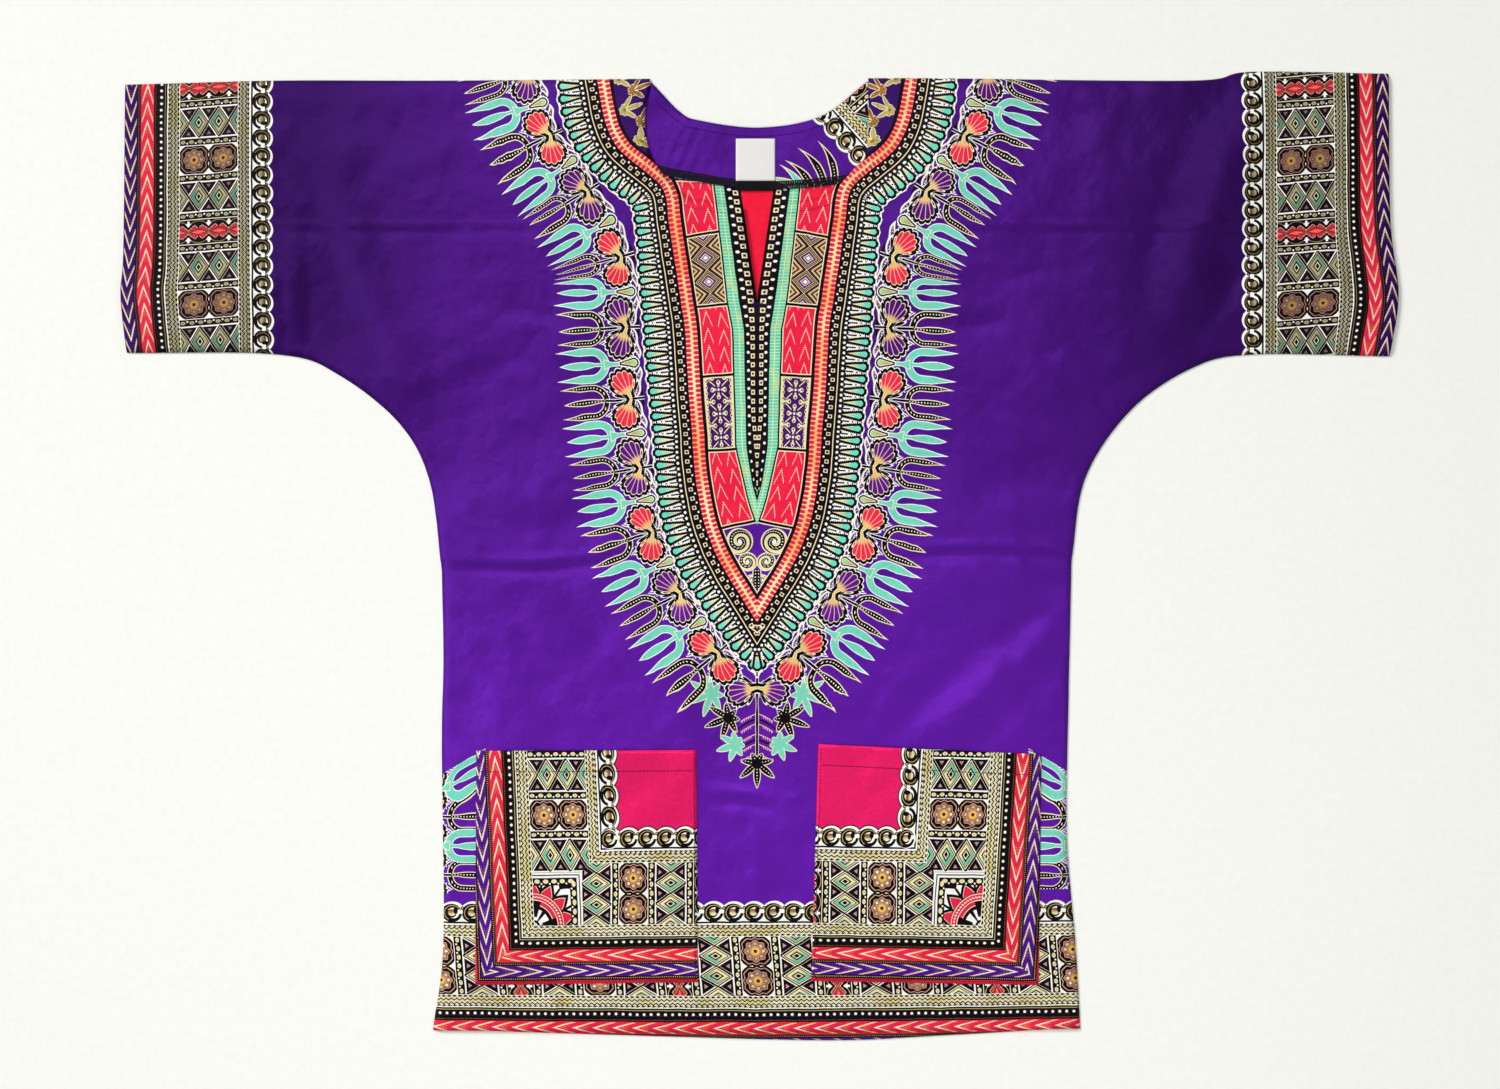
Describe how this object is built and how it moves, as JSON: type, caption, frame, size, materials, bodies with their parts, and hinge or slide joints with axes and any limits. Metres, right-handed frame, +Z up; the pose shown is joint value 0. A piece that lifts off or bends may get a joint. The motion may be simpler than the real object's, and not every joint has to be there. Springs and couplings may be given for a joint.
{
  "type": "dashiki shirt laid flat",
  "caption": "Loose pullover shirt with wide short sleeves, a slit scoop neck and patch pockets, in bright border-printed cloth, laid flat front up.",
  "frame": {"origin": "on the surface that the garment lies on, under the middle of its bounding box", "axes": "+X from the left cuff to the right cuff as seen from above, +Y from hem to neck, +Z up from the surface"},
  "size_m": [1.098, 0.8313, 0.0104],
  "materials": {
    "printed_purple": "printed satin-weave polyester, soft sheen, metallic gold outlines",
    "printed_red": "the same printed cloth, cut from its red border field",
    "facing_purple": "wrong side of the printed cloth, plain and a little dull",
    "label_white": "satin ribbon, bare",
    "tab_black": "satin ribbon, bare"
  },
  "bodies": {
    "root": {"back_panel": "printed_purple", "front_panel": "printed_purple", "neck_facing": "facing_purple", "neck_label": "label_white", "size_tab": "tab_black", "pocket_left": "printed_red", "pocket_right": "printed_red"}
  },
  "joints": []
}
